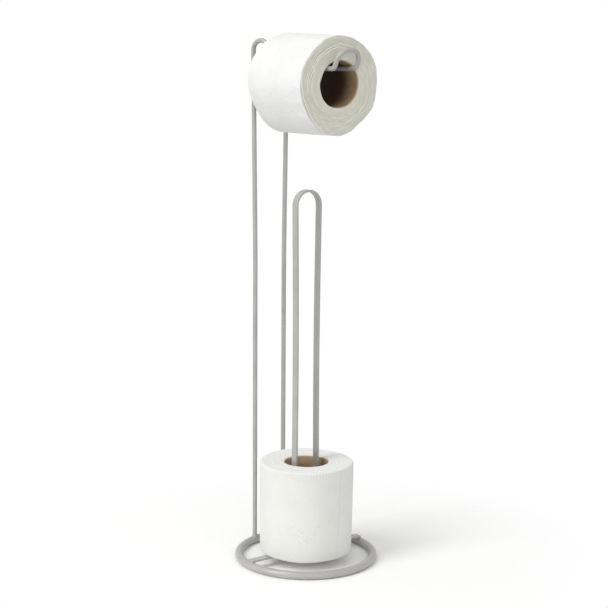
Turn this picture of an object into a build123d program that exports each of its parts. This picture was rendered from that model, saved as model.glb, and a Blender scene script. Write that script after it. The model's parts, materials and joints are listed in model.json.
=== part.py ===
from build123d import *
import math
import os

# Free-standing holder for two toilet rolls, in millimetres
# +Z is up, the floor is Z = 0 and the ring's middle is on the Z axis
# The arm points to the front, along -Y, and the flat post's two feet lie along X

# Base ring
ring_centre_radius = 76.0
ring_rod_diameter = 8.8

# Wire stand: uprights, rear hook, arm and front loop in one bent wire
wire_diameter = 5.3
upright_spacing = 40.0
splay_start_height = 345.0
splay_bend_radius = 4000.0
hook_spacing = 46.0
hook_rise = 29.8
hook_depth = 22.0
hook_crown_flat = 0.9
arm_height = 549.2
arm_rear_spacing = 36.4
arm_front_spacing = 28.7
arm_rear_bend_radius = 8.0
arm_front_bend_radius = 6.0
loop_length = 21.2
loop_crown_flat = 2.0
loop_tilt_degrees = 65.0

# Reserve post: a flat strip bent into an upside-down U
strip_width = 8.7
strip_thickness = 2.5
strip_edge_radius = 0.5
post_drop_below_arm = 130.8
post_base_spacing = 32.4
post_top_spacing = 32.2
post_waist_draw_in = 2.55
post_bow_share = 0.55
post_crown_flat = 0.6
post_foot_bend_radius = 4.2
post_foot_overhang = 0.6
post_left_shift = 1.6

# Welds
weld_sink = 0.3
upright_weld_leg = 1.1
weld_skin = 0.15
post_weld_inner_reach = 3.4
post_weld_outer_reach = 1.1
post_weld_depth = 1.3
post_weld_side_margin = 0.6

# Rolls
roll_diameter = 105.4
top_roll_length = 96.5
reserve_roll_length = 102.6
core_outer_diameter = 50.8
core_wall = 0.8
core_recess = 0.6
sheet_thickness = 0.5
top_roll_rim_radius = 3.0
reserve_roll_rim_radius = 2.2
top_roll_sag = 1.4
top_roll_tail_degrees = 60.0
reserve_roll_tail_degrees = -80.0
top_roll_front_gap = 8.5
top_roll_rear_gap = 8.8
hang_clearance = 0.3
seat_clearance = 0.2
reserve_roll_left_shift = 1.3
reserve_roll_front_shift = 1.5

# Places that follow from the sizes above
ring_rod_radius = ring_rod_diameter / 2
ring_crown_height = ring_rod_diameter
wire_radius = wire_diameter / 2
upright_side = upright_spacing / 2
upright_back = math.sqrt(ring_centre_radius**2 - upright_side**2)
hook_side = hook_spacing / 2
arm_rear_side = arm_rear_spacing / 2
arm_front_side = arm_front_spacing / 2
hook_front = upright_back - hook_depth
hook_height = arm_height + hook_rise
arm_reach = top_roll_front_gap + top_roll_length + top_roll_rear_gap
arm_front = hook_front - arm_reach
loop_tilt = math.radians(loop_tilt_degrees)
loop_front = arm_front - loop_length * math.cos(loop_tilt)
loop_height = arm_height + loop_length * math.sin(loop_tilt)
hook_slant = math.hypot(hook_depth, hook_side - arm_rear_side)
hook_bend_radius = (hook_slant - hook_crown_flat) / 2
loop_bend_radius = (arm_front_spacing - loop_crown_flat) / 2
weld_height = ring_crown_height - weld_sink
strip_seat_height = weld_height + strip_thickness
post_height = arm_height - post_drop_below_arm
core_outer_radius = core_outer_diameter / 2
core_inner_radius = core_outer_radius - core_wall


def arm_side_at(y):
    """Distance from the middle plane to an arm wire's centre, at a place along the arm."""
    share = (y - arm_front) / arm_reach
    return arm_front_side + share * (arm_rear_side - arm_front_side)


def hanging_height_at(y):
    """Height of the core's axis where the core hangs on the two arm wires."""
    reach = core_inner_radius - wire_radius - hang_clearance
    return arm_height - math.sqrt(reach**2 - arm_side_at(y) ** 2)


def roll_core(end_plane, roll_length):
    """Cardboard tube, a little shorter than its paper, standing on the roll's end plane."""
    with BuildPart() as tube:
        with BuildSketch(end_plane.offset(core_recess)):
            Circle(core_outer_radius)
            Circle(core_inner_radius, mode=Mode.SUBTRACT)
        extrude(amount=roll_length - 2 * core_recess)
    return tube.part


def roll_paper(end_plane, winding_plane, roll_length, rim_radius, tail_degrees):
    """Wound paper with rounded rims, whose last layer winds outwards to its free end.

    The core's bore is centred on the end plane, and the winding on its own plane.
    """
    growth = sheet_thickness / 4
    first_radius = roll_diameter / 2 - sheet_thickness
    envelope_radius = roll_diameter / 2 + growth / 2
    side_plane = Plane(
        winding_plane.origin, x_dir=winding_plane.x_dir, z_dir=-winding_plane.y_dir
    )
    corners = [(0, 0), (0, -growth), (growth, -growth), (growth, 0)]
    with BuildPart() as paper:
        with BuildSketch(winding_plane * Rotation(0, 0, tail_degrees)):
            with BuildLine() as winding:
                for quarter, centre in enumerate(corners):
                    CenterArc(centre, first_radius + quarter * growth, 90 * quarter, 90)
                Line(winding.line @ 1, winding.line @ 0)
            make_face()
        extrude(amount=roll_length)
        with BuildSketch(side_plane):
            with BuildLine():
                FilletPolyline(
                    (0, 0),
                    (envelope_radius, 0),
                    (envelope_radius, roll_length),
                    (0, roll_length),
                    radius=rim_radius,
                )
                Line((0, roll_length), (0, 0))
            make_face()
        revolve(axis=Axis(winding_plane.origin, winding_plane.z_dir), mode=Mode.INTERSECT)
        with BuildSketch(end_plane):
            Circle(core_outer_radius)
        extrude(amount=roll_length, mode=Mode.SUBTRACT)
    return paper.part


def finish(part, name):
    """Give a finished piece its name and write it."""
    part.label = name
    export_step(part, f"parts/{name}.step")


os.makedirs("parts", exist_ok=True)

# Base ring: a round rod whose crown carries the uprights, with a shallow flat under each post foot
with BuildPart() as base_ring:
    with BuildSketch(Plane.XZ):
        with Locations((ring_centre_radius, ring_rod_radius)):
            Circle(ring_rod_radius)
    revolve(axis=Axis.Z)
    with BuildSketch(Plane.XY.offset(weld_height)):
        with Locations((-ring_centre_radius, 0), (ring_centre_radius, 0)):
            Rectangle(ring_rod_diameter, strip_width)
    extrude(amount=ring_rod_diameter, mode=Mode.SUBTRACT)
finish(base_ring.part, "base_ring")

# Wire stand: the left half's corners, from the foot to the loop, and their mirror image
left_corners = [
    (-upright_side, upright_back, weld_height - ring_rod_radius / 4),
    (-upright_side, upright_back, splay_start_height),
    (-hook_side, upright_back, hook_height),
    (-arm_rear_side, hook_front, hook_height),
    (-arm_rear_side, hook_front, arm_height),
    (-arm_front_side, arm_front, arm_height),
    (-arm_front_side, loop_front, loop_height),
]
right_corners = [(-x, y, z) for x, y, z in reversed(left_corners)]
left_bends = [
    splay_bend_radius,
    hook_bend_radius,
    hook_bend_radius,
    arm_rear_bend_radius,
    arm_front_bend_radius,
    loop_bend_radius,
]
with BuildPart() as stand_wire:
    with BuildLine() as wire_path:
        FilletPolyline(*left_corners, *right_corners, radius=left_bends + left_bends[::-1])
    with BuildSketch(Plane(wire_path.line @ 0, z_dir=wire_path.line % 0)):
        Circle(wire_radius)
    sweep()
    add(base_ring.part, mode=Mode.SUBTRACT)
finish(stand_wire.part, "stand_wire")

# Reserve post: the strip's corners from the left foot to the right one, in the XZ plane
strip_middle_height = weld_height + strip_thickness / 2
post_top_middle_height = post_height - strip_thickness / 2
foot_end = ring_centre_radius + post_foot_overhang
half_leg = (post_top_middle_height - strip_middle_height) / 2
post_base_side = post_base_spacing / 2
post_top_side = post_top_spacing / 2
post_waist_side = (post_base_side + post_top_side) / 2 - post_waist_draw_in
post_half = [
    (post_base_side, strip_middle_height),
    (post_waist_side, strip_middle_height + half_leg),
    (post_top_side, post_top_middle_height),
]
lower_lean = math.atan2(post_base_side - post_waist_side, half_leg)
upper_lean = math.atan2(post_top_side - post_waist_side, half_leg)
post_waist_bend_radius = post_bow_share * half_leg / math.tan((lower_lean + upper_lean) / 2)
post_corners = [
    (-foot_end, 0, strip_middle_height),
    *[(-post_left_shift - side, 0, height) for side, height in post_half],
    *[(-post_left_shift + side, 0, height) for side, height in reversed(post_half)],
    (foot_end, 0, strip_middle_height),
]
post_crown_radius = (post_top_spacing - post_crown_flat) / 2
post_half_bends = [post_foot_bend_radius, post_waist_bend_radius, post_crown_radius]
with BuildPart() as reserve_post:
    with BuildLine() as post_path:
        FilletPolyline(*post_corners, radius=post_half_bends + post_half_bends[::-1])
    with BuildSketch(Plane(post_path.line @ 0, x_dir=(0, 1, 0), z_dir=post_path.line % 0)):
        RectangleRounded(strip_width, strip_thickness, strip_edge_radius)
    sweep()
finish(reserve_post.part, "reserve_post")

# Welds round the wire's two ends, on the ring's crown
weld_base_height = ring_crown_height - upright_weld_leg
weld_top_height = ring_crown_height + upright_weld_leg
for name, side in (("left_upright_weld", -upright_side), ("right_upright_weld", upright_side)):
    with BuildPart() as upright_weld:
        with BuildSketch(Plane((side, upright_back, weld_base_height))):
            Circle(wire_radius + upright_weld_leg)
        with BuildSketch(Plane((side, upright_back, weld_top_height))):
            Circle(wire_radius + weld_skin)
        loft()
        add(base_ring.part, mode=Mode.SUBTRACT)
        add(stand_wire.part, mode=Mode.SUBTRACT)
    finish(upright_weld.part, name)

# Welds in the wedge between the ring's rod and the underside of the post's feet
for name, side in (("left_post_weld", -1), ("right_post_weld", 1)):
    wedge_middle = ring_centre_radius - (post_weld_inner_reach + post_weld_outer_reach) / 2
    with BuildPart() as post_weld:
        with BuildSketch(Plane((side * wedge_middle, 0, weld_height))):
            Rectangle(
                post_weld_inner_reach - post_weld_outer_reach,
                strip_width - 2 * post_weld_side_margin,
            )
        extrude(amount=-post_weld_depth)
        add(base_ring.part, mode=Mode.SUBTRACT)
    finish(post_weld.part, name)

# Top roll: its core hangs on the two arm wires, which come together to the front, so it droops
roll_front = arm_front + top_roll_front_gap
roll_back = roll_front + top_roll_length
front_axis_height = hanging_height_at(roll_front)
droop = math.atan2(hanging_height_at(roll_back) - front_axis_height, top_roll_length)
top_roll_axis = (0, math.cos(droop), math.sin(droop))
top_roll_end = Plane((0, roll_front, front_axis_height), x_dir=(1, 0, 0), z_dir=top_roll_axis)
winding_origin = top_roll_end.origin + top_roll_end.y_dir * top_roll_sag
top_roll_winding = Plane(winding_origin, x_dir=(1, 0, 0), z_dir=top_roll_axis)
top_roll_paper = roll_paper(
    top_roll_end, top_roll_winding, top_roll_length, top_roll_rim_radius, top_roll_tail_degrees
)
finish(top_roll_paper, "top_roll_paper")
finish(roll_core(top_roll_end, top_roll_length), "top_roll_core")

# Reserve roll: it stands on the post's feet
reserve_roll_end = Plane(
    (-reserve_roll_left_shift, -reserve_roll_front_shift, strip_seat_height + seat_clearance)
)
reserve_roll_paper = roll_paper(
    reserve_roll_end,
    reserve_roll_end,
    reserve_roll_length,
    reserve_roll_rim_radius,
    reserve_roll_tail_degrees,
)
finish(reserve_roll_paper, "reserve_roll_paper")
finish(roll_core(reserve_roll_end, reserve_roll_length), "reserve_roll_core")
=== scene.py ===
"""Free-standing holder for two toilet rolls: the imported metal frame, dressed, and its two paper rolls.

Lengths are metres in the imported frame: +Z is up, the floor is Z = 0 and the arm points to -Y.
"""

import json
import logging
import math
from collections.abc import Iterable
from dataclasses import dataclass
from enum import Enum
from typing import Union

import bpy
import numpy as np
from mathutils import Matrix, Vector


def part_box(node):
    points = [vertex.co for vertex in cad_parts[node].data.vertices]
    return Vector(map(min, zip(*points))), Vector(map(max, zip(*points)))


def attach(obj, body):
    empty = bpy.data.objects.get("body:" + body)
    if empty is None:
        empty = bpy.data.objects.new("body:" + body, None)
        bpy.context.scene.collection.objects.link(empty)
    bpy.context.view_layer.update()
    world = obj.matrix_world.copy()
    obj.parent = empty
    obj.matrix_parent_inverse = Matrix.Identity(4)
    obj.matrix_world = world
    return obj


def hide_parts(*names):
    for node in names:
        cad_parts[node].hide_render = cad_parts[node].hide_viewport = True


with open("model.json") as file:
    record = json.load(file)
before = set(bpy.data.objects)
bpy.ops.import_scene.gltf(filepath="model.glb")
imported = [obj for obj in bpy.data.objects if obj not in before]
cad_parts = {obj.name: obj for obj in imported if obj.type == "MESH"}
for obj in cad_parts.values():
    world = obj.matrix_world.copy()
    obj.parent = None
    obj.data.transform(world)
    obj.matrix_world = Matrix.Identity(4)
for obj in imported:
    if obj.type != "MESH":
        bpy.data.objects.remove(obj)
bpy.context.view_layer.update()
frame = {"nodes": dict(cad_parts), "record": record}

MM = 0.001
TURN = 2 * math.pi
log = logging.getLogger("holder")

Colour = tuple[float, float, float, float]
Place = tuple[float, float, float]


class Slot(Enum):
    """The record's material slots that the rolls take."""

    TISSUE = "tissue"
    BOARD = "core_board"


class End(Enum):
    """The two ends of a roll, by the way that each one looks along the roll's axis."""

    BACK = -1
    FACE = 1


class Winding(Enum):
    """Which way a roll's sheet runs out to its loose end, as the FACE end is looked at."""

    ANTICLOCKWISE = "anticlockwise"
    CLOCKWISE = "clockwise"


def srgb(red: float, green: float, blue: float) -> Colour:
    """Turn a screen colour, from 0 to 255, into the linear colour that a shader takes."""
    linear = [((c / 255 + 0.055) / 1.055) ** 2.4 for c in (red, green, blue)]
    return (linear[0], linear[1], linear[2], 1.0)


def smooth_step(value: np.ndarray, low: float, high: float) -> np.ndarray:
    """Rise smoothly from 0 at low to 1 at high."""
    share = np.clip((value - low) / (high - low), 0.0, 1.0)
    return share * share * (3 - 2 * share)


def bell(value: np.ndarray, half_width: float) -> np.ndarray:
    """Make a smooth bell, which is 1 at zero and falls off to both sides."""
    return np.exp(-((value / half_width) ** 2))


def hump(angle: np.ndarray, centre_degrees: float, half_width_degrees: float) -> np.ndarray:
    """Make one smooth hump round a circle.

    Args:
        angle: the angles to work it out at, in radians.
        centre_degrees: where the hump is highest.
        half_width_degrees: how far to each side it reaches.

    Returns:
        The hump at each angle, from 0 to 1.
    """
    away = (angle - math.radians(centre_degrees) + math.pi) % TURN - math.pi
    share = np.clip(np.abs(away) / math.radians(half_width_degrees), 0.0, 1.0)
    return 0.5 + 0.5 * np.cos(math.pi * share)


Term = Union["Value", float]


class Value:
    """A number in a shader: each operator adds one Math node."""

    def __init__(self, painter: "Painter", socket: bpy.types.NodeSocket) -> None:
        """Wrap an output socket of the painter's tree."""
        self.painter = painter
        self.socket = socket

    def math(self, operation: str, *terms: Term) -> "Value":
        """Add one Math node, with its inputs in order."""
        return self.painter.add("ShaderNodeMath", {"operation": operation}, dict(enumerate(terms)))

    def __add__(self, other: Term) -> "Value":
        """Add."""
        return self.math("ADD", self, other)

    def __radd__(self, other: Term) -> "Value":
        """Add, with the number on the left."""
        return self.math("ADD", other, self)

    def __sub__(self, other: Term) -> "Value":
        """Subtract."""
        return self.math("SUBTRACT", self, other)

    def __rsub__(self, other: Term) -> "Value":
        """Subtract from the number on the left."""
        return self.math("SUBTRACT", other, self)

    def __mul__(self, other: Term) -> "Value":
        """Multiply."""
        return self.math("MULTIPLY", self, other)

    def __rmul__(self, other: Term) -> "Value":
        """Multiply, with the number on the left."""
        return self.math("MULTIPLY", other, self)

    def __pow__(self, other: Term) -> "Value":
        """Raise to a power."""
        return self.math("POWER", self, other)

    def sine(self) -> "Value":
        """Take the sine."""
        return self.math("SINE", self)

    def angle_over(self, across: Term) -> "Value":
        """Take the angle whose tangent is this over that."""
        return self.math("ARCTAN2", self, across)

    @staticmethod
    def sum_of(values: Iterable["Value"]) -> "Value":
        """Add several values up."""
        first, *others = values
        return sum(others, start=first)

    def from_nearest(self, spacing: float) -> "Value":
        """Give the distance from the nearest whole number of spacings."""
        return self.math("PINGPONG", self, spacing / 2)

    def rise(self, low: float, high: float) -> "Value":
        """Rise smoothly from 0 at low to 1 at high."""
        values = {"Value": self, "From Min": low, "From Max": high}
        return self.painter.add("ShaderNodeMapRange", {"interpolation_type": "SMOOTHSTEP"}, values)


class Painter:
    """Lays out the nodes of one material, or of the world."""

    def __init__(self, owner: bpy.types.Material | bpy.types.World) -> None:
        """Start with no nodes.

        Args:
            owner: the material or world whose nodes are laid out.
        """
        self.owner = owner
        self.owner.use_nodes = True
        self.tree = self.owner.node_tree
        self.tree.nodes.clear()

    def add(
        self,
        kind: str,
        settings: dict[str, object] | None = None,
        values: dict[int | str, object] | None = None,
        result: int | str = 0,
    ) -> Value:
        """Add any node and take one of its outputs, by its number or name."""
        return Value(self, self.node(kind, settings, values).outputs[result])

    def node(
        self,
        kind: str,
        settings: dict[str, object] | None = None,
        values: dict[int | str, object] | None = None,
    ) -> bpy.types.Node:
        """Add any node.

        Args:
            kind: the node's type.
            settings: the node's own properties, which are set first.
            values: a number, colour or link for each input, by its number or name.

        Returns:
            The node.
        """
        node = self.tree.nodes.new(kind)
        for key, setting in (settings or {}).items():
            setattr(node, key, setting)
        for key, value in (values or {}).items():
            if isinstance(value, Value):
                self.tree.links.new(value.socket, node.inputs[key])
            else:
                node.inputs[key].default_value = value
        return node

    def blend(self, factor: Term, first: Value | Colour, second: Value | Colour) -> Value:
        """Mix two colours.

        Args:
            factor: 0 for the first, 1 for the second.
            first: a colour or a link.
            second: a colour or a link.

        Returns:
            The mixed colour.
        """
        factor_in, first_in, second_in, colour_out = 0, 6, 7, 2
        values = {factor_in: factor, first_in: first, second_in: second}
        return self.add("ShaderNodeMix", {"data_type": "RGBA"}, values, colour_out)

    def place(self, name: str, stretch: Place = (1.0, 1.0, 1.0)) -> Value:
        """Read a place that is kept on the mesh's points, and stretch it along each axis."""
        kept = self.add("ShaderNodeAttribute", {"attribute_name": name}, {}, "Vector")
        return self.add("ShaderNodeVectorMath", {"operation": "MULTIPLY"}, {0: kept, 1: stretch})

    def part(self, vector: Value, axis: str) -> Value:
        """Take X, Y or Z out of a vector."""
        return self.add("ShaderNodeSeparateXYZ", {}, {0: vector}, axis)

    def amount(self, name: str) -> Value:
        """Read a number that is kept on the mesh's points."""
        return self.add("ShaderNodeAttribute", {"attribute_name": name}, {}, "Fac")

    def object_place(self) -> Value:
        """Read the place on the object, in metres."""
        return self.add("ShaderNodeTexCoord", {}, {}, "Object")

    def noise(self, place: Value, scale: float, detail: float = 2.0, roughness: float = 0.5) -> Value:
        """Make smooth noise from 0 to 1, about 0.5 on average, with scale bumps to one unit."""
        values = {"Vector": place, "Scale": scale, "Detail": detail, "Roughness": roughness}
        return self.add("ShaderNodeTexNoise", {}, values, "Fac")

    def bump(self, height: Value, depth: float, under: Value | None = None) -> Value:
        """Turn a height into a bumped normal.

        Args:
            height: the height, from 0 to 1.
            depth: how many metres one unit of height stands for.
            under: a bumped normal to add to.

        Returns:
            The normal.
        """
        values: dict[int | str, object] = {"Height": height, "Distance": depth, "Strength": 1.0}
        if under is not None:
            values["Normal"] = under
        return self.add("ShaderNodeBump", {}, values)

    def surface(self, **values: object) -> bpy.types.Material:
        """End the material in one Principled shader.

        Args:
            values: its inputs, with _ for each space in their names.

        Returns:
            The material.
        """
        inputs = {key.replace("_", " "): value for key, value in values.items()}
        shader = self.add("ShaderNodeBsdfPrincipled", {}, inputs)
        self.node("ShaderNodeOutputMaterial", {}, {"Surface": shader})
        return self.owner


@dataclass(frozen=True)
class PowderCoat:
    """Satin powder coat, baked on steel: an even grey with a very fine orange peel."""

    colour: Colour = srgb(179, 178, 175)
    shaded_colour: Colour = srgb(171, 170, 167)
    roughness: float = 0.34
    cloud_roughness: float = 0.10
    peel_roughness: float = 0.06
    cloud_scale: float = 38.0
    peel_scale: float = 620.0
    peel_depth: float = 0.035 * MM
    metal_share: float = 0.10
    specular_level: float = 0.50
    coat_weight: float = 0.20
    coat_roughness: float = 0.22

    def material(self) -> bpy.types.Material:
        """Make the material.

        Returns:
            The material, not yet on any piece.
        """
        paint = Painter(bpy.data.materials.new("powder_coat"))
        place = paint.object_place()
        clouds = paint.noise(place, self.cloud_scale, 3.0)
        peel = paint.noise(place, self.peel_scale, 1.0)
        colour = paint.blend(clouds.rise(0.30, 0.70), self.shaded_colour, self.colour)
        clouded = self.roughness + self.cloud_roughness * (clouds - 0.5)
        return paint.surface(
            Base_Color=colour,
            Roughness=clouded + self.peel_roughness * (peel - 0.5),
            Normal=paint.bump(peel, self.peel_depth),
            Metallic=self.metal_share,
            Specular_IOR_Level=self.specular_level,
            Coat_Weight=self.coat_weight,
            Coat_Roughness=self.coat_roughness,
        )


@dataclass(frozen=True)
class Tissue:
    """Soft white tissue: creped and perforated outside, a stack of sheet edges at the ends, with painted
    highlight on single sheets' edges and painted shade in the gaps beside them.

    Attributes:
        core_shade: the colour of the sheet edges next to the core, darkened as painted shade.
        first_perforation: where the first row lies on the unrolled sheet.
        perforation: how clear the rows are, from 0 to 1.
        emboss_place: the middle of the clearest rosette on the unrolled sheet.
    """

    name: str
    sheet_colour: Colour
    sheet_shade: Colour
    edge_colour: Colour
    edge_shade: Colour
    core_shade: Colour
    # the next two colours are a painted highlight and a painted shade, for sheet edges, their gaps and
    # the perforation
    painted_highlight: Colour
    gap_shade: Colour
    first_perforation: float
    perforation: float = 1.0
    emboss_depth: float = 0.0
    emboss_place: tuple[float, float] = (0.0, 0.0)
    sheet_length: float = 110 * MM
    row_half_width: float = 0.75 * MM
    bond_spacing: float = 3.6 * MM
    slit_share: float = 0.25
    patch_scale: float = 40.0
    crepe_scale: float = 420.0
    crepe_depth: float = 0.30 * MM
    pucker_scale: float = 230.0
    pucker_depth: float = 0.55 * MM
    fibre_scale: float = 1300.0
    fibre_depth: float = 0.05 * MM
    windings_per_metre: float = 780.0
    bands_per_metre: float = 260.0
    speck_scale: float = 480.0
    core_side_width: float = 13 * MM
    ply_depth: float = 0.30 * MM

    def material(self) -> bpy.types.Material:
        """Make the material.

        Returns:
            The material, not yet on any piece.
        """
        paint = Painter(bpy.data.materials.new(self.name))
        place = paint.object_place()
        cut = paint.amount("cut_share")
        sheet = 1 - cut
        fibres = paint.noise(place, self.fibre_scale, 2.0, 0.6)
        wound = paint.place("winding_place", (self.windings_per_metre, 4.0, 4.0))
        windings = paint.noise(wound, 1.0, 3.0, 0.6)
        creped = paint.place("sheet_place", (1.0, 0.75, 1.0))
        crepe = paint.noise(creped, self.crepe_scale, 2.0, 0.55)
        puckered = paint.place("sheet_place", (1.0, 0.8, 1.0))
        puckers = paint.noise(puckered, self.pucker_scale, 2.0, 0.6)
        relief = paint.bump(crepe * sheet, self.crepe_depth)
        relief = paint.bump(puckers * sheet, self.pucker_depth, relief)
        if self.emboss_depth:
            relief = paint.bump(self.emboss(paint) * sheet, self.emboss_depth, relief)
        relief = paint.bump(fibres, self.fibre_depth, relief)
        relief = paint.bump(windings * cut, self.ply_depth, relief)
        colour = paint.blend(cut, self.outside(paint, place), self.ends(paint, place, windings))
        # painted shade: darkens the gaps beside sheet edges and just past the loose end
        colour = paint.blend(paint.amount("gap"), colour, self.gap_shade)
        return paint.surface(
            # painted highlight: lightens the sheet edges that stand out and the loose end's step
            Base_Color=paint.blend(paint.amount("ply_edge_highlight"), colour, self.painted_highlight),
            Roughness=0.90 + 0.08 * fibres,
            Normal=relief,
        )

    def outside(self, paint: Painter, place: Value) -> Value:
        """Colour the outside of the last sheet, with its rows of perforation.

        Args:
            paint: the material being laid out.
            place: the place on the object.

        Returns:
            The colour.
        """
        patches = paint.noise(place, self.patch_scale, 2.0)
        plain = paint.blend(patches.rise(0.35, 0.65), self.sheet_shade, self.sheet_colour)
        unrolled = paint.place("sheet_place")
        round_the_roll = paint.part(unrolled, "X")
        along = paint.part(unrolled, "Y")
        off_row = (round_the_roll - self.first_perforation).from_nearest(self.sheet_length)
        row = self.perforation * (1 - off_row.rise(self.row_half_width / 3, self.row_half_width))
        uneven = paint.noise(unrolled, 150.0, 1.0)
        bonds = (along * (TURN / self.bond_spacing) + 5.0 * uneven).sine().rise(-0.2, 0.5)
        shown = 0.35 + 0.65 * uneven.rise(0.35, 0.50)
        # each row shows as dashes of painted highlight over slits of painted shade
        slits = paint.blend(self.slit_share * row, plain, self.gap_shade)
        return paint.blend(row * bonds * shown, slits, self.painted_highlight)

    def ends(self, paint: Painter, place: Value, windings: Value) -> Value:
        """Colour the ends, where the sheets' edges show line by line.

        Args:
            paint: the material being laid out.
            place: the place on the object.
            windings: the noise that tells one winding from the next.

        Returns:
            The colour.
        """
        banded = paint.place("winding_place", (self.bands_per_metre, 3.0, 3.0))
        bands = paint.noise(banded, 1.0, 2.0, 0.5)
        specks = paint.noise(place, self.speck_scale, 3.0, 0.6)
        lines = paint.blend(windings.rise(0.34, 0.62), self.edge_shade, self.edge_colour)
        lines = paint.blend(0.3 * bands.rise(0.50, 0.74), lines, self.edge_shade)
        lines = paint.blend(0.5 * specks.rise(0.48, 0.72), lines, self.edge_shade)
        out = paint.part(paint.place("winding_place"), "X")
        # painted shade: darkens the sheet edges next to the core, fading out over core_side_width
        return paint.blend(1 - out.rise(0.0, self.core_side_width), lines, self.core_shade)

    def emboss(self, paint: Painter) -> Value:
        """Press rosettes of short dashes into the sheet, in staggered rows, deepest in one place.

        Args:
            paint: the material being laid out.

        Returns:
            The height of the sheet, lower in the dashes.
        """
        unrolled = paint.place("sheet_place")
        total = Value.sum_of(self.rosettes(paint, unrolled, shift) for shift in (0.0, 0.5))
        across = paint.part(unrolled, "X") - self.emboss_place[0]
        along = paint.part(unrolled, "Y") - self.emboss_place[1]
        stretched = ((across * across + along * along) ** 0.5).rise(13 * MM, 28 * MM)
        uneven = paint.noise(unrolled, 26.0, 1.0).rise(0.35, 0.65)
        return 1 - total * (1 - stretched * (0.85 - 0.45 * uneven))

    def rosettes(self, paint: Painter, unrolled: Value, shift: float) -> Value:
        """Lay rosettes out on a square net.

        Args:
            paint: the material being laid out.
            unrolled: the place on the unrolled sheet.
            shift: how far the net is moved, as a share of its spacing.

        Returns:
            1 in the dashes and 0 elsewhere.
        """
        spacing, dashes = 42 * MM, 8
        first_ring, ring_step, reach = 3.2 * MM, 3.8 * MM, 13 * MM
        first_across, first_along = (place - shift * spacing for place in self.emboss_place)
        across = (paint.part(unrolled, "X") - first_across).from_nearest(spacing)
        along = (paint.part(unrolled, "Y") - first_along).from_nearest(spacing)
        out = (across * across + along * along) ** 0.5
        rings = (out - first_ring).from_nearest(ring_step)
        line = 1 - rings.rise(0.35 * MM, 1.0 * MM)
        broken = (dashes * along.angle_over(across)).sine().rise(-0.5, 0.3)
        inside = (1 - out.rise(reach - 1.0 * MM, reach)) * out.rise(first_ring / 2, 0.75 * first_ring)
        return line * broken * inside


@dataclass(frozen=True)
class CoreBoard:
    """Brown board in two spiral plies, with pale cut ends; painted shade darkens it deep inside the
    bore.
    """

    name: str
    colour: Colour = srgb(190, 162, 131)
    mottle_colour: Colour = srgb(170, 142, 111)
    painted_bore_shade: Colour = srgb(72, 47, 27)
    cut_colour: Colour = srgb(222, 210, 186)
    seam_colour: Colour = srgb(88, 66, 48)
    mottle_scale: float = 90.0
    fibre_scale: float = 420.0
    fibre_depth: float = 0.06 * MM

    def material(self) -> bpy.types.Material:
        """Make the material.

        Returns:
            The material, not yet on any piece.
        """
        paint = Painter(bpy.data.materials.new(self.name))
        place = paint.object_place()
        fibres = paint.noise(place, self.fibre_scale, 4.0, 0.7)
        mottle = paint.noise(place, self.mottle_scale, 3.0)
        board = paint.blend(mottle.rise(0.3, 0.7), self.mottle_colour, self.colour)
        board = paint.blend(0.3 * fibres.rise(0.5, 0.8), board, self.mottle_colour)
        # painted shade: the inner wall darkens towards the middle of the bore, by the kept depth
        board = paint.blend(paint.amount("depth"), board, self.painted_bore_shade)
        board = paint.blend(paint.amount("seam"), board, self.seam_colour)
        board = paint.blend(paint.amount("cut_share") * fibres.rise(0.2, 0.5), board, self.cut_colour)
        return paint.surface(
            Base_Color=board,
            Roughness=0.82 + 0.12 * fibres,
            Normal=paint.bump(fibres, self.fibre_depth),
        )


@dataclass(frozen=True)
class StudioPaper:
    """Pale studio paper, which fades out so that no horizon shows."""

    colour: Colour = srgb(253, 253, 252)
    grain_colour: Colour = srgb(249, 250, 249)
    grain_scale: float = 240.0
    full_radius: float = 0.15
    fade_radius: float = 0.38

    def material(self) -> bpy.types.Material:
        """Make the material.

        Returns:
            The material, not yet on any piece.
        """
        paint = Painter(bpy.data.materials.new("studio_paper"))
        place = paint.object_place()
        distance = paint.add("ShaderNodeVectorMath", {"operation": "LENGTH"}, {0: place}, "Value")
        grain = paint.noise(place, self.grain_scale)
        colour = paint.blend(0.3 * grain, self.colour, self.grain_colour)
        return paint.surface(
            Base_Color=colour,
            Roughness=0.9,
            Specular_IOR_Level=0.1,
            Alpha=1 - distance.rise(self.full_radius, self.fade_radius),
        )


@dataclass(frozen=True)
class Ripple:
    """Seeded sum of waves across a sheet and round the roll, which closes on itself."""

    seed: int
    shortest: float
    longest: float
    most_turns: int = 3
    count: int = 36

    def __call__(self, across: np.ndarray, angle: np.ndarray) -> np.ndarray:
        """Add the waves up.

        Args:
            across: distances in metres.
            angle: angles in radians.

        Returns:
            Heights, mostly between -1 and 1.
        """
        draw = np.random.default_rng(self.seed)
        total = np.zeros(np.broadcast(across, angle).shape)
        for _ in range(self.count):
            length = math.exp(draw.uniform(math.log(self.shortest), math.log(self.longest)))
            turns = int(draw.integers(-self.most_turns, self.most_turns + 1))
            phase = draw.uniform(0, TURN)
            total += np.sin(TURN * across / length + turns * angle + phase)
        return total / math.sqrt(self.count)


@dataclass(frozen=True)
class Crease:
    """A dent or a ridge in a roll's end, at a distance from the core and an angle."""

    out: float
    degrees: float
    height: float
    half_width: float
    half_degrees: float

    def __call__(self, out: np.ndarray, angle: np.ndarray) -> np.ndarray:
        """Give its height at each distance from the core and angle round the roll."""
        across = bell(out - self.out, self.half_width)
        return self.height * across * hump(angle, self.degrees, self.half_degrees)


@dataclass(frozen=True)
class Bulge:
    """A soft swelling of a roll's outside, or a flattened place if it is below zero."""

    degrees: float
    half_degrees: float
    at_back: float
    at_face: float

    def __call__(self, angle: np.ndarray, share: np.ndarray) -> np.ndarray:
        """Give its height at each angle and share of the length, from 0 at BACK to 1 at FACE."""
        height = self.at_back + (self.at_face - self.at_back) * share
        return height * hump(angle, self.degrees, self.half_degrees)


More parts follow.
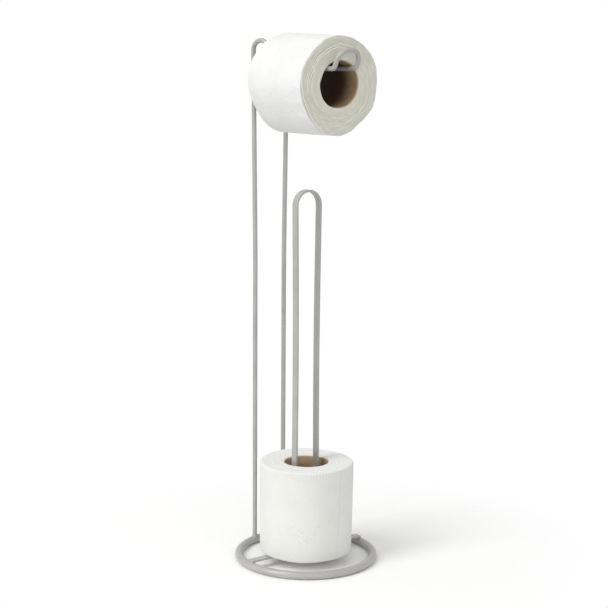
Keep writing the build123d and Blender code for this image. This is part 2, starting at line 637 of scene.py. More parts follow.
@dataclass(frozen=True)
class Ply:
    """One sheet's edge that stands out of a roll's end, beside the gap that it leaves: both are raised
    or sunk in the relief and given painted highlight and painted shade.

    It runs straight from corner to corner, each one an angle in degrees and a distance from the
    roll's axis in millimetres, and fades out at both its ends.
    """

    corners: tuple[tuple[float, float], ...]
    strength: float
    gap_strength: float = 0.3
    broken: float = 0.6
    seed: int = 1
    fade_degrees: float = 9.0
    half_width: float = 0.42 * MM
    gap_width: float = 0.50 * MM

    def degrees(self, angle: np.ndarray) -> np.ndarray:
        """Turn angles into the run of degrees that the corners lie in."""
        middle = (self.corners[0][0] + self.corners[-1][0]) / 2
        return (np.degrees(angle) - middle + 180) % 360 - 180 + middle

    def off(self, radius: np.ndarray, angle: np.ndarray) -> np.ndarray:
        """How far each place lies outside the sheet's edge.

        Args:
            radius: distances from the roll's axis.
            angle: angles round the roll.

        Returns:
            Distances in metres.
        """
        turns, radii = (np.array(column) for column in zip(*self.corners))
        place = np.clip(self.degrees(angle), turns[0], turns[-1])
        index = np.clip(np.searchsorted(turns, place, side="right") - 1, 0, len(turns) - 2)
        before = np.radians(place - turns[index])
        after = np.radians(turns[index + 1] - place)
        closeness = np.sin(after) / radii[index] + np.sin(before) / radii[index + 1]
        return radius - MM * np.sin(before + after) / closeness

    def presence(self, angle: np.ndarray) -> np.ndarray:
        """Say where the edge shows, from 0 to 1, with its breaks and its fading ends.

        Args:
            angle: angles round the roll.

        Returns:
            The share at each angle.
        """
        place = self.degrees(angle)
        first, last = self.corners[0][0], self.corners[-1][0]
        ends = smooth_step(place, first, first + self.fade_degrees)
        ends = ends * (1 - smooth_step(place, last - self.fade_degrees, last))
        waves = Ripple(seed=self.seed, shortest=1.0, longest=2.0, most_turns=30, count=16)
        return ends * (1 - self.broken * smooth_step(waves(0 * angle, angle), -0.3, 0.6))

    def edge(self, radius: np.ndarray, angle: np.ndarray) -> np.ndarray:
        """Give the sheet's edge, from 0 to its strength, for its ridge and its painted highlight."""
        ridge = np.exp(-((self.off(radius, angle) / self.half_width) ** 4))
        return self.strength * ridge * self.presence(angle)

    def gap(self, radius: np.ndarray, angle: np.ndarray) -> np.ndarray:
        """Give the gap just outside the edge, from 0 to its strength, for its dip and its painted shade.
        """
        beside = self.off(radius, angle) - self.half_width - 0.8 * self.gap_width
        return self.gap_strength * bell(beside, self.gap_width) * self.presence(angle)


def round_ply(radius: float, degrees: tuple[int, int], strength: float, gap_strength: float) -> Ply:
    """Describe a sheet's edge that keeps one distance, in millimetres, from the axis."""
    corners = tuple((float(turn), radius) for turn in range(degrees[0], degrees[1] + 1, 12))
    return Ply(corners, strength, gap_strength, seed=int(radius * 10), fade_degrees=25.0)


def ring_mesh(name: str, points: np.ndarray, kept: dict[str, np.ndarray]) -> bpy.types.Object:
    """Make a mesh that closes round the axis and through the bore, like a thick washer.

    Args:
        name: the object's name.
        points: its points, by ring and by column.
        kept: numbers or vectors to keep on the points, by name.

    Returns:
        The object, linked to the scene.
    """
    rings, columns = points.shape[:2]
    first = np.arange(rings)[:, None] * columns
    after = np.roll(np.arange(rings), -1)[:, None] * columns
    column = np.arange(columns)[None, :]
    beside = np.roll(np.arange(columns), -1)[None, :]
    faces = np.stack([first + column, first + beside, after + beside, after + column], axis=-1)
    mesh = bpy.data.meshes.new(name)
    mesh.from_pydata(points.reshape(-1, 3).tolist(), [], faces.reshape(-1, 4).tolist())
    for key, values in kept.items():
        flat = np.ascontiguousarray(values, dtype=np.float32).reshape(rings * columns, -1)
        kind, field = ("FLOAT", "value") if flat.shape[1] == 1 else ("FLOAT_VECTOR", "vector")
        mesh.attributes.new(key, kind, "POINT").data.foreach_set(field, flat.ravel())
    mesh.shade_smooth()
    mesh.set_sharp_from_angle(angle=math.radians(50))
    mesh.validate()
    piece = bpy.data.objects.new(name, mesh)
    bpy.context.collection.objects.link(piece)
    return piece


@dataclass
class MetalStand:
    """The welded metal stand: base ring, bent wire, flat post and their welds, as packed."""

    nodes: tuple[str, ...] = (
        "base_ring",
        "stand_wire",
        "reserve_post",
        "left_upright_weld",
        "right_upright_weld",
        "left_post_weld",
        "right_post_weld",
    )

    def dress(self, coat: PowderCoat) -> list[bpy.types.Object]:
        """Give every metal node the powder coat.

        Args:
            coat: the finish.

        Returns:
            The dressed nodes.
        """
        material = coat.material()
        nodes = [frame["nodes"][name] for name in self.nodes]
        for node in nodes:
            node.data.materials.clear()
            node.data.materials.append(material)
        return nodes


@dataclass
class Roll:
    """A wound roll on its cardboard core.

    Angles run from +X, anticlockwise as the roll's FACE end is looked at. The axis runs from the
    BACK end, at 0, to the FACE end, at the roll's length.

    Attributes:
        across: the direction that the angles start from.
        back_rim: how widely the BACK end's outer edge is rounded.
        face_rim: how widely the FACE end's outer edge is rounded.
        tail_degrees: where the sheet's loose end lies at the BACK.
        tail_slant_degrees: how far it has turned by the FACE.
        tail_bend: 1 for a straight loose end, and less for one that turns early.
        tail_at_back: how strongly the loose end's painted highlight and painted shade show at the BACK,
            where the FACE has 1.
        sag: how far the outermost layer hangs below the axis.
        shift: how far the roll lies from the middle of its packed core.
        looseness: how fast the outside's shape fades towards the core.
    """

    name: str
    axis: Vector
    tissue: Tissue
    length: float
    across: Vector
    back_rim: float
    face_rim: float
    tail_degrees: float
    tail_slant_degrees: float
    bulges: tuple[Bulge, ...]
    core_bulges: tuple[Bulge, ...]
    plies: tuple[Ply, ...]
    tail_bend: float = 1.0
    direction: Winding = Winding.ANTICLOCKWISE
    sag: float = 0.0
    shift: float = 0.0
    outer_radius: float = 52.5 * MM
    core_radius: float = 25.4 * MM
    core_wall: float = 0.8 * MM
    core_recess: float = 0.6 * MM
    bore_gap: float = 0.05 * MM
    sheet_step: float = 0.45 * MM
    tail_at_back: float = 1.0
    # how dark the painted shade just past the loose end is
    tail_shade: float = 0.5
    fine_relief: float = 0.08 * MM
    broad_relief: float = 0.25 * MM
    ridge_height: float = 0.25 * MM
    gap_depth: float = 0.30 * MM
    ply_wander: float = 0.10 * MM
    looseness: float = 2.5
    columns: int = 320
    face_rings: int = 128
    back_rings: int = 56
    side_rings: int = 104
    rim_rings: int = 8

    def __post_init__(self) -> None:
        """Find the roll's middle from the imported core."""
        low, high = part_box(f"{self.name}_core")
        middle = (Vector(low) + Vector(high)) / 2
        self.axis = self.axis.normalized()
        self.up = self.axis.cross(self.across).normalized()
        self.start = middle + self.axis * (self.shift - self.length / 2)

    @property
    def thickness(self) -> float:
        """How thick the winding is."""
        return self.outer_radius - self.core_radius - self.bore_gap

    def points(
        self, out: np.ndarray, angle: np.ndarray, along: np.ndarray, drop: np.ndarray
    ) -> np.ndarray:
        """Turn places in the roll's own measures into points of the frame.

        Args:
            out: distances from the axis.
            angle: angles round it.
            along: distances along it.
            drop: how far each place sags below the axis.

        Returns:
            The points.
        """
        side = (out * np.cos(angle))[..., None] * np.array(self.across)
        rise = (out * np.sin(angle) - drop)[..., None] * np.array(self.up)
        return np.array(self.start) + side + rise + along[..., None] * np.array(self.axis)

    def bore_swell(self, angle: np.ndarray, along: np.ndarray) -> np.ndarray:
        """How far the core is pressed out of round, always outwards."""
        none = 0 * angle * along
        return none + sum(bulge(angle, along / self.length) for bulge in self.core_bulges)

    def swell(self, angle: np.ndarray, along: np.ndarray) -> np.ndarray:
        """How far the outside stands out from a true cylinder."""
        return sum(bulge(angle, along / self.length) for bulge in self.bulges)

    def relief(self, end: End, out: np.ndarray, angle: np.ndarray) -> np.ndarray:
        """How far an end stands out from a flat cut.

        Args:
            end: which end.
            out: distances from the core.
            angle: angles round the roll.

        Returns:
            Distances in metres, outwards.
        """
        fine = Ripple(seed=21 + end.value, shortest=0.9 * MM, longest=2.0 * MM, most_turns=9)
        broad = Ripple(seed=31 + end.value, shortest=5 * MM, longest=30 * MM, count=20)
        height = self.fine_relief * fine(out, angle) + self.broad_relief * broad(out, angle)
        ridges, gaps = self.ply_lines(end, out, angle)
        return height + self.ridge_height * ridges - self.gap_depth * gaps

    def ply_lines(self, end: End, out: np.ndarray, angle: np.ndarray) -> tuple[np.ndarray, np.ndarray]:
        """Where single sheets stand out of the FACE end, and the gaps beside them, for the relief and
        for painted highlight and painted shade.

        Args:
            end: which end.
            out: distances from the core.
            angle: angles round the roll.

        Returns:
            The edges and the gaps, as shares from 0 to 1.
        """
        nothing = np.zeros(np.broadcast(out, angle).shape)
        if end is End.BACK or not self.plies:
            return nothing, nothing
        wander = Ripple(seed=41, shortest=300 * MM, longest=900 * MM, most_turns=14, count=20)
        radius = self.core_radius + self.bore_gap + out + self.ply_wander * wander(nothing, angle)
        ridges = sum(ply.edge(radius, angle) for ply in self.plies)
        gaps = sum(ply.gap(radius, angle) for ply in self.plies)
        return np.clip(ridges, 0, 1), np.clip(gaps, 0, 1)

    def side_lines(self, angle: np.ndarray, along: np.ndarray) -> tuple[np.ndarray, np.ndarray]:
        """Where painted highlight marks single sheets' edges on the side and painted shade the gaps
        beside them: nowhere here.
        """
        return 0 * angle, 0 * angle

    def end_rings(self, end: End, angle: np.ndarray) -> list[dict[str, np.ndarray]]:
        """Lay out one end, from the bore to the start of the side.

        Args:
            end: which end.
            angle: the columns' angles.

        Returns:
            One ring of places for each step outwards.
        """
        ends_at = self.length if end is End.FACE else 0.0
        rim = self.face_rim if end is End.FACE else self.back_rim
        count = self.face_rings if end is End.FACE else self.back_rings
        flat, cut_curl = self.thickness - rim, 0.6 * rim
        turns = [math.pi / 2 * (k + 1) / self.rim_rings for k in range(self.rim_rings)]
        steps = list(np.linspace(0.0, flat, count))
        steps += [flat + rim * math.sin(turn) for turn in turns]
        edge = np.full_like(angle, ends_at)
        rings = []
        for step in steps:
            share = step / self.thickness
            curl = rim - math.sqrt(max(rim**2 - max(step - flat, 0.0) ** 2, 0.0))
            out = np.full_like(angle, step)
            ridges, gaps = self.ply_lines(end, out, angle)
            pressed = self.swell(angle, edge) * share**self.looseness
            pressed = pressed + self.bore_swell(angle, edge) * (1 - share)
            rings.append(
                {
                    "out": self.core_radius + self.bore_gap + step + pressed,
                    "along": edge + end.value * (self.relief(end, out, angle) - curl),
                    "drop": np.full_like(angle, self.sag * share),
                    "winding": out,
                    "cut": np.full_like(angle, 1.0 - min(curl / cut_curl, 1.0)),
                    # the next two keys keep the painted highlight and the painted shade
                    "ply": ridges,
                    "gap": gaps,
                }
            )
        return rings

    def side_band(self, angle: np.ndarray) -> list[dict[str, np.ndarray]]:
        """Lay out the outside between the two rims, from BACK to FACE.

        Args:
            angle: the columns' angles.

        Returns:
            One ring of places for each step along the roll.
        """
        outermost = np.full_like(angle, self.thickness)
        low = self.back_rim - self.relief(End.BACK, outermost, angle)
        high = self.length - self.face_rim + self.relief(End.FACE, outermost, angle)
        near, third = 0.14, self.side_rings // 3
        shares = np.concatenate(
            [
                np.linspace(0.0, near, third, endpoint=False),
                np.linspace(near, 1 - near, third, endpoint=False),
                np.linspace(1 - near, 1.0, third),
            ]
        )
        rings = []
        for share in shares[1:-1]:
            along = low + (high - low) * share
            edges, gaps = self.side_lines(angle, along)
            rings.append(
                {
                    "out": self.outer_radius + self.swell(angle, along),
                    "along": along,
                    "drop": np.full_like(angle, self.sag),
                    "winding": outermost,
                    "cut": np.zeros_like(angle),
                    # the next two keys keep the painted highlight and the painted shade
                    "ply": edges,
                    "gap": gaps,
                }
            )
        return rings

    def build_paper(self) -> bpy.types.Object:
        """Build the wound paper.

        Returns:
            The paper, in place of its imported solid.
        """
        tail = math.radians(self.tail_degrees)
        step_width, lift_width, edge_width, gap_width = 0.04 * MM, 2.2 * MM, 0.9 * MM, 1.0 * MM
        seam = step_width / self.outer_radius
        turn = np.concatenate([[0.0], np.linspace(seam, TURN - seam, self.columns - 1)])
        back = self.end_rings(End.BACK, turn + tail)
        face = self.end_rings(End.FACE, turn + tail)
        rings = back + self.side_band(turn + tail) + face[::-1]
        out, along, drop, winding, cut, ply, gap = (
            np.stack([ring[key] for ring in rings])
            for key in ("out", "along", "drop", "winding", "cut", "ply", "gap")
        )
        share = np.clip(along / self.length, 0.0, 1.0)
        lean = math.radians(self.tail_slant_degrees) * share**self.tail_bend
        angle = turn[None, :] + tail + lean
        wound = turn[None, :]
        if self.direction is Winding.CLOCKWISE:
            wound = (TURN - wound) % TURN
        outside = np.clip(winding / self.thickness, 0, 1) ** 12
        from_tail = (TURN - wound) * self.outer_radius
        past_tail = wound * self.outer_radius
        lift = 0.5 * self.sheet_step * np.exp(-from_tail / lift_width)
        out = out + outside * ((wound / TURN - 0.5) * self.sheet_step + lift)
        ragged = Ripple(seed=61, shortest=7 * MM, longest=60 * MM, most_turns=0, count=10)
        loose = outside * np.clip(0.45 + 0.35 * ragged(along, 0 * along), 0.1, 0.9)
        loose = loose * (self.tail_at_back + (1 - self.tail_at_back) * smooth_step(share, 0.55, 0.9))
        # painted highlight on the loose end's step, and painted shade just past it
        ply = np.maximum(ply, loose * bell(from_tail, edge_width))
        gap = np.maximum(gap, self.tail_shade * loose * bell(past_tail, gap_width))
        unrolled = wound * self.outer_radius + 0 * along
        kept = {
            "winding_place": np.stack([winding, np.cos(angle), np.sin(angle)], axis=-1),
            "sheet_place": np.stack([unrolled, along, 0 * along], axis=-1),
            "cut_share": cut,
            # the next two carry the painted highlight and the painted shade to the tissue
            "ply_edge_highlight": ply,
            "gap": gap,
        }
        paper = ring_mesh(f"{self.name}_wound_paper", self.points(out, angle, along, drop), kept)
        paper.data.materials.append(self.tissue.material())
        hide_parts(f"{self.name}_paper")
        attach(paper, self.name)
        return paper

    def build_core(self) -> bpy.types.Object:
        """Build the cardboard tube, whose columns follow its spiral seam.

        Returns:
            The tube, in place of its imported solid.
        """
        columns, steps, lip = 200, 46, 0.22 * MM
        groove_width, groove_depth, overlap_step = 0.55 * MM, 0.16 * MM, 0.10 * MM
        length = self.length - 2 * self.core_recess
        inner, seam_lead = self.core_radius - self.core_wall, 1.5 * self.core_radius
        walls = list(np.linspace(lip, length - lip, steps))
        profile = [(self.core_radius, place, 0.0) for place in walls]
        profile += [(self.core_radius - lip, length, 1.0), (inner + lip, length, 1.0)]
        profile += [(inner, place, 0.0) for place in walls[::-1]]
        profile += [(inner + lip, 0.0, 1.0), (self.core_radius - lip, 0.0, 1.0)]
        out, along, cut = (np.array(column)[:, None] for column in zip(*profile))
        turn = np.linspace(0.0, TURN, columns, endpoint=False)[None, :]
        angle = turn + along / seam_lead
        away = (turn + math.pi) % TURN - math.pi
        inside = (out <= inner + lip / 2).astype(float)
        groove = inside * bell(away * inner, groove_width)
        overlap = inside * smooth_step(away, -0.9, -0.1) * (away < 0)
        out = out + self.bore_swell(angle, along) + groove_depth * groove + overlap_step * overlap
        # depth: the share of painted shade on the inner wall, none within 3 mm of a mouth, full from 30
        # mm in
        depth = inside * smooth_step(np.minimum(along, length - along), 3 * MM, 30 * MM)
        kept = {"seam": 0.85 * groove, "cut_share": cut + 0 * turn, "depth": depth + 0 * turn}
        along = along + self.core_recess + 0 * turn
        core = ring_mesh(f"{self.name}_tube", self.points(out, angle, along, 0 * angle), kept)
        core.data.materials.append(CoreBoard(f"{self.name}_board").material())
        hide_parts(f"{self.name}_core")
        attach(core, self.name)
        return core


def facets(angle: np.ndarray, corner_degrees: tuple[float, ...], radius: float) -> np.ndarray:
    """How far each flat between two soft corners lies inside the round.

    Args:
        angle: angles round the roll.
        corner_degrees: where the corners are, in rising order.
        radius: the round's radius.

    Returns:
        Distances in metres, never above zero.
    """
    degrees = np.degrees(angle) % 360
    corners = np.array(corner_degrees + (corner_degrees[0] + 360,))
    wrapped = np.where(degrees < corners[0], degrees + 360, degrees)
    index = np.clip(np.searchsorted(corners, wrapped, side="right") - 1, 0, len(corners) - 2)
    half = np.radians(corners[index + 1] - corners[index]) / 2
    off = np.radians(wrapped) - np.radians(corners[index]) - half
    return radius * (np.cos(half) / np.cos(off) - 1)


@dataclass
class TopRoll(Roll):
    """The roll in use: it hangs on the arm, and its loose outer layers hang lowest at the back."""

    corner_degrees: tuple[float, ...] = (
        *(10, 29, 48, 63, 83, 104, 123, 143, 159, 172),
        *(190, 208, 226, 244, 262, 282, 300, 320, 338, 353),
    )
    slipped_edges: tuple[float, ...] = (3.8 * MM, 9.4 * MM)
    slip_depth: float = 0.3 * MM
    slip_degrees: float = 212
    slip_half_degrees: float = 45
    line_degrees: float = 224
    line_half_degrees: float = 38
    wave_height: float = 0.22 * MM

    def swell(self, angle: np.ndarray, along: np.ndarray) -> np.ndarray:
        """How far the outside stands out, with its soft flats, waves and slipped layers.

        Args:
            angle: angles round the roll.
            along: distances along it.

        Returns:
            Distances in metres.
        """
        waves = Ripple(seed=11, shortest=60 * MM, longest=400 * MM, most_turns=7, count=30)
        near_face = smooth_step(along, 0.55 * self.length, self.length)
        flats = (0.15 + 0.42 * near_face) * facets(angle, self.corner_degrees, self.outer_radius)
        loosened = hump(angle, self.slip_degrees, self.slip_half_degrees)
        slipped = sum(
            smooth_step(place - along, -0.3 * MM, 0.6 * MM) * loosened for place in self.slipped_edges
        )
        soft = super().swell(angle, along) + flats + self.wave_height * waves(along, angle)
        return soft - self.slip_depth * slipped

    def side_lines(self, angle: np.ndarray, along: np.ndarray) -> tuple[np.ndarray, np.ndarray]:
        """Where the slipped layers' edges near the BACK end get a painted highlight, and the gaps beside
        them painted shade.

        Args:
            angle: angles round the roll.
            along: distances along it.

        Returns:
            The painted highlight and the painted shade, as shares from 0 to 1.
        """
        wander = Ripple(seed=71, shortest=1.0, longest=2.0, most_turns=12, count=12)(0 * angle, angle)
        wander_width, edge_off, edge_width, gap_width = 0.25 * MM, 2.2 * MM, 1.0 * MM, 0.9 * MM
        # edge_strength sets the painted highlight, gap_strength the painted shade
        edge_strength, gap_strength = 0.35, 0.45
        shown = hump(angle, self.line_degrees, self.line_half_degrees)
        edges, gaps = 0 * angle, 0 * angle
        for place in self.slipped_edges:
            off = along - place + wander_width * wander
            edges = edges + edge_strength * shown * bell(off - edge_off, edge_width)
            gaps = gaps + gap_strength * shown * bell(off, gap_width)
        return edges, gaps


@dataclass
class ReserveRoll(Roll):
    """The spare roll, which stands round the post on the post's feet."""

    pleats: float = 96.0
    pleat_height: float = 0.28 * MM
    pleat_tuck: float = 0.2 * MM
    wave_height: float = 0.14 * MM

    def ruffle(self, along: np.ndarray, angle: np.ndarray) -> np.ndarray:
        """Pleat the FACE rim where it was pinched, from -1 to 1."""
        lean = 0.05 * (self.length - along) / MM
        return np.sin(self.pleats * angle + lean) * hump(angle, 247, 24)

    def swell(self, angle: np.ndarray, along: np.ndarray) -> np.ndarray:
        """How far the outside stands out, with its soft waves and the pleats under the FACE rim.

        Args:
            angle: angles round the roll.
            along: distances along it.

        Returns:
            Distances in metres.
        """
        waves = Ripple(seed=51, shortest=70 * MM, longest=500 * MM, most_turns=5, count=24)
        near_face = smooth_step(along, self.length - 14 * MM, self.length - 3 * MM)
        pleated = near_face * (self.pleat_height * self.ruffle(along, angle) - self.pleat_tuck)
        return super().swell(angle, along) + self.wave_height * waves(along, angle) + pleated

    def relief(self, end: End, out: np.ndarray, angle: np.ndarray) -> np.ndarray:
        """How far an end stands out: the BACK hangs a little, the FACE rises, with a dent and a ruffle.

        Args:
            end: which end.
            out: distances from the core.
            angle: angles round the roll.

        Returns:
            Distances in metres, outwards.
        """
        height = super().relief(end, out, angle)
        if end is End.BACK:
            hanging = 0.9 * MM * hump(angle, 228, 34) - 0.3 * MM * hump(angle, 290, 30)
            return 0.3 * height + smooth_step(out, 18 * MM, 27 * MM) * hanging
        rise = smooth_step(out, 6 * MM, 26 * MM) * (0.2 * MM + 1.5 * MM * hump(angle, 70, 120))
        dent = Crease(21 * MM, 12, -0.8 * MM, 5 * MM, 26)(out, angle)
        rim = 0.35 * MM * self.ruffle(self.length + 0 * out, angle) * smooth_step(out, 19 * MM, 26 * MM)
        return height + rise + dent + rim


@dataclass
class PhotoCamera:
    """The camera that took the photograph, as worked out from the ring, the wires and the rolls."""

    place: Vector
    heading_degrees: float = -36.496
    pitch_degrees: float = 9.347
    roll_degrees: float = 0.406
    lens: float = 86.87
    sensor: float = 36.0

    def build(self) -> bpy.types.Object:
        """Build the camera and make it the scene's own.

        Returns:
            The camera.
        """
        data = bpy.data.cameras.new("photo_camera")
        data.lens = self.lens
        data.sensor_width = self.sensor
        data.sensor_fit = "HORIZONTAL"
        data.clip_start = 0.05
        data.clip_end = 60.0
        data.dof.use_dof = False
        camera = bpy.data.objects.new("photo_camera", data)
        turn = Matrix.Rotation(math.radians(self.heading_degrees), 4, "Z")
        pitch = Matrix.Rotation(math.radians(90 - self.pitch_degrees), 4, "X")
        roll = Matrix.Rotation(math.radians(self.roll_degrees), 4, "Z")
        camera.matrix_world = Matrix.Translation(self.place) @ turn @ pitch @ roll
        bpy.context.collection.objects.link(camera)
        bpy.context.scene.camera = camera
        return camera


@dataclass(frozen=True)
class Lamp:
    """One soft lamp, with its width and height in metres and its strength in watts."""

    name: str
    place: Place
    size: tuple[float, float]
    power: float

    def build(self, aim: Place) -> bpy.types.Object:
        """Hang the lamp.

        Args:
            aim: the place that it looks at.

        Returns:
            The lamp.
        """
        data = bpy.data.lights.new(self.name, "AREA")
        data.shape = "RECTANGLE"
        data.size, data.size_y = self.size
        data.energy = self.power
        lamp = bpy.data.objects.new(self.name, data)
        lamp.location = self.place
        lamp.rotation_euler = (Vector(aim) - Vector(self.place)).to_track_quat("-Z", "Y").to_euler()
        bpy.context.collection.objects.link(lamp)
        return lamp


@dataclass
class Studio:
    """Plain pale floor, a soft white surround and three soft lamps."""

    floor_radius: float = 2.4
    floor_rings: int = 24
    floor_columns: int = 96
    floor_widening: float = 1.5
    surround_light: float = 0.71
    aim: Place = (0.0, 0.0, 0.3)
    lamps: tuple[Lamp, ...] = (
        Lamp("key_lamp", (-3.60, 0.30, 5.10), (2.1, 2.1), 77.0),
        Lamp("strip_lamp", (-3.88, 0.10, 2.37), (1.6, 2.4), 57.0),
        Lamp("fill_lamp", (-1.1, -2.6, 0.8), (2.0, 1.4), 8.2),
    )

    def build_floor(self, paper: StudioPaper) -> bpy.types.Object:
        """Build the floor, as a disc whose middle lies under the holder.

        Args:
            paper: its finish.

        Returns:
            The floor.
        """
        points = [(0.0, 0.0, 0.0)]
        faces = []
        for ring in range(1, self.floor_rings + 1):
            out = self.floor_radius * (ring / self.floor_rings) ** self.floor_widening
            for column in range(self.floor_columns):
                angle = TURN * column / self.floor_columns
                points.append((out * math.cos(angle), out * math.sin(angle), 0.0))
        for column in range(self.floor_columns):
            beside = (column + 1) % self.floor_columns
            faces.append((0, 1 + column, 1 + beside))
            for ring in range(self.floor_rings - 1):
                inner = 1 + ring * self.floor_columns
                outer = inner + self.floor_columns
                faces.append((inner + column, outer + column, outer + beside, inner + beside))
        mesh = bpy.data.meshes.new("studio_floor")
        mesh.from_pydata(points, [], faces)
        mesh.materials.append(paper.material())
        floor = bpy.data.objects.new("studio_floor", mesh)
        bpy.context.collection.objects.link(floor)
        return floor

    def build_surround(self) -> None:
        """Light the scene evenly from all sides, behind a white background."""
        world = bpy.data.worlds.new("studio_surround")
        paint = Painter(world)
        plain = srgb(255, 255, 255)
        light = paint.add("ShaderNodeBackground", {}, {"Color": plain, "Strength": self.surround_light})
        white = paint.add("ShaderNodeBackground", {}, {"Color": plain, "Strength": 1.0})
        seen = paint.add("ShaderNodeLightPath", {}, {}, "Is Camera Ray")
        chosen = paint.add("ShaderNodeMixShader", {}, {0: seen, 1: light, 2: white})
        paint.node("ShaderNodeOutputWorld", {}, {"Surface": chosen})
        bpy.context.scene.world = world

    def build(self) -> list[bpy.types.Object]:
        """Build the floor, the lamps and the surround.

        Returns:
            The floor and the lamps.
        """
        pieces = [self.build_floor(StudioPaper())]
        pieces += [lamp.build(self.aim) for lamp in self.lamps]
        self.build_surround()
        bpy.context.scene.view_settings.view_transform = "Standard"
        return pieces


def make_top_roll() -> TopRoll:
    """Describe the roll in use, whose end is a stack of cream-grey sheet edges.

    Returns:
        The roll, not yet built.
    """
    joints = frame["record"]["behaviour"]["joints"]
    spin = next(joint for joint in joints if joint["name"] == "top_roll_spin")
    tissue = Tissue(
        name="top_roll_tissue",
        sheet_colour=srgb(233, 233, 232),
        sheet_shade=srgb(229, 229, 228),
        edge_colour=srgb(223, 223, 210),
        edge_shade=srgb(205, 205, 191),
        core_shade=srgb(219, 218, 205),
        painted_highlight=srgb(254, 254, 248),
        gap_shade=srgb(176, 175, 160),
        first_perforation=31 * MM,
    )
    return TopRoll(
        name="top_roll",
        axis=-Vector(spin["axis"]),
        tissue=tissue,
        length=96.5 * MM,
        across=Vector((1, 0, 0)),
        back_rim=3.0 * MM,
        face_rim=1.6 * MM,
        tail_degrees=304,
        tail_slant_degrees=-7.8,
        sag=1.4 * MM,
        core_bulges=(
            Bulge(179, 9, 0.0, 0.6 * MM),
            Bulge(189, 20, 0.2 * MM, 1.1 * MM),
            Bulge(209, 22, 0.1 * MM, 0.6 * MM),
            Bulge(232, 46, 0.5 * MM, 1.5 * MM),
        ),
        bulges=(
            Bulge(266, 52, 3.9 * MM, 1.0 * MM),
            Bulge(316, 34, -1.0 * MM, -2.6 * MM),
            Bulge(2, 26, -0.5 * MM, -1.4 * MM),
            Bulge(38, 16, 0.0, 0.5 * MM),
            Bulge(145, 26, -0.3 * MM, -1.1 * MM),
            Bulge(110, 25, -0.9 * MM, 0.0),
            Bulge(90, 26, -0.2 * MM, -0.2 * MM),
            Bulge(176, 30, 0.8 * MM, -0.3 * MM),
            Bulge(212, 30, -0.8 * MM, -0.9 * MM),
        ),
        plies=(
            Ply(
                (
                    *((176, 50.7), (187, 50.4), (202, 49.6), (216, 49.2)),
                    *((229, 49.5), (243, 50.5), (258, 52.2)),
                ),
                strength=1.0,
                gap_strength=0.5,
                broken=0.15,
                seed=2,
            ),
            Ply(
                (
                    *((66, 42.0), (79, 42.7), (98, 43.2), (113, 41.6), (125, 41.1)),
                    *((143, 41.5), (157, 41.1), (175, 42.4), (189, 42.8), (204, 42.4)),
                ),
                strength=1.0,
                gap_strength=0.45,
                broken=0.25,
                seed=3,
            ),
            Ply(
                (
                    *((74, 38.2), (86, 38.7), (104, 39.7), (123, 38.1), (143, 39.3)),
                    *((158, 39.1), (175, 38.9), (189, 40.6), (200, 40.6)),
                ),
                strength=0.9,
                gap_strength=0.4,
                broken=0.35,
                seed=4,
            ),
            Ply(((154, 44.4), (165, 44.2), (176, 44.7), (190, 45.0), (203, 44.4)), 0.65, seed=5),
            Ply(((158, 36.2), (167, 35.6), (176, 35.9), (188, 36.6), (198, 36.8)), 0.55, seed=6),
            Ply(((96, 36.4), (112, 35.6), (128, 35.9), (140, 36.6)), 0.35, seed=7),
            Ply(((112, 46.8), (128, 46.1), (146, 46.7), (160, 46.6)), 0.35, seed=8),
            Ply(((262, 36.2), (280, 35.8), (298, 36.3), (316, 36.0), (330, 36.6)), 0.45, seed=9),
            Ply(
                (
                    *((264, 44.6), (275, 43.9), (288, 42.2), (306, 40.9)),
                    *((323, 40.3), (342, 41.4), (356, 41.0)),
                ),
                strength=0.60,
                seed=10,
            ),
            Ply(((276, 47.6), (292, 46.0), (310, 44.6), (328, 44.8), (346, 45.8)), 0.45, seed=11),
            Ply(((300, 47.2), (316, 46.7), (332, 47.6), (350, 48.0), (368, 47.4)), 0.35, seed=12),
            Ply(((340, 33.4), (356, 33.0), (372, 33.6), (390, 33.2)), 0.30, seed=13),
            round_ply(26.9, (216, 396), 0.5, 0.2),
        ),
    )


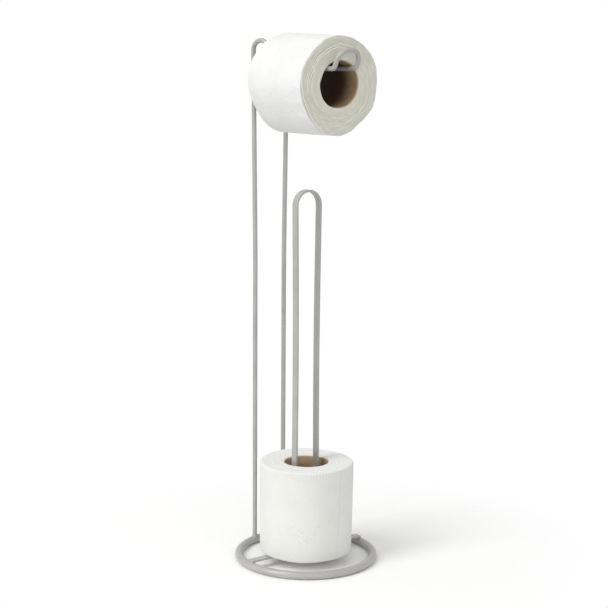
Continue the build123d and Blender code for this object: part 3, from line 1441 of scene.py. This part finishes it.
def make_reserve_roll() -> ReserveRoll:
    """Describe the spare roll, which is white all over, with a soft ruffled rim.

    Returns:
        The roll, not yet built.
    """
    tissue = Tissue(
        name="reserve_roll_tissue",
        sheet_colour=srgb(228, 228, 224),
        sheet_shade=srgb(225, 225, 221),
        edge_colour=srgb(236, 237, 234),
        edge_shade=srgb(231, 232, 228),
        core_shade=srgb(232, 232, 228),
        painted_highlight=srgb(242, 242, 237),
        gap_shade=srgb(196, 196, 189),
        emboss_depth=0.24 * MM,
        emboss_place=(40.6 * MM, 27.5 * MM),
        first_perforation=0.0,
        perforation=0.45,
        crepe_depth=0.24 * MM,
        pucker_depth=0.45 * MM,
    )
    return ReserveRoll(
        name="reserve_roll",
        axis=Vector((0, 0, 1)),
        tissue=tissue,
        length=101.4 * MM,
        shift=-0.6 * MM,
        across=Vector((1, 0, 0)),
        back_rim=1.3 * MM,
        face_rim=2.2 * MM,
        tail_degrees=272.6,
        tail_slant_degrees=8.6,
        tail_bend=0.6,
        tail_at_back=0.25,
        tail_shade=0.4,
        sheet_step=0.22 * MM,
        direction=Winding.CLOCKWISE,
        fine_relief=0.03 * MM,
        broad_relief=0.12 * MM,
        columns=420,
        face_rings=80,
        back_rings=48,
        side_rings=87,
        core_bulges=(),
        bulges=(
            Bulge(60, 60, 0.2 * MM, 0.5 * MM),
            Bulge(324, 50, -1.3 * MM, 0.9 * MM),
            Bulge(140, 40, -0.4 * MM, 0.1 * MM),
        ),
        plies=(round_ply(26.5, (120, 420), 0.4, 0.1),),
    )


def main() -> None:
    """Dress the stand, build both rolls, and set up the studio and the camera."""
    logging.basicConfig(level=logging.INFO, format="%(message)s")
    for node in MetalStand().dress(PowderCoat()):
        log.info("dressed %s", node.name)
    for roll in (make_top_roll(), make_reserve_roll()):
        for piece in (roll.build_paper(), roll.build_core()):
            log.info("built %s: %d faces", piece.name, len(piece.data.polygons))
    camera = PhotoCamera(place=Vector((-956.98, -1286.65, 555.39)) * MM)
    for piece in (*Studio().build(), camera.build()):
        log.info("set up %s", piece.name)


if __name__ == "__main__":
    main()
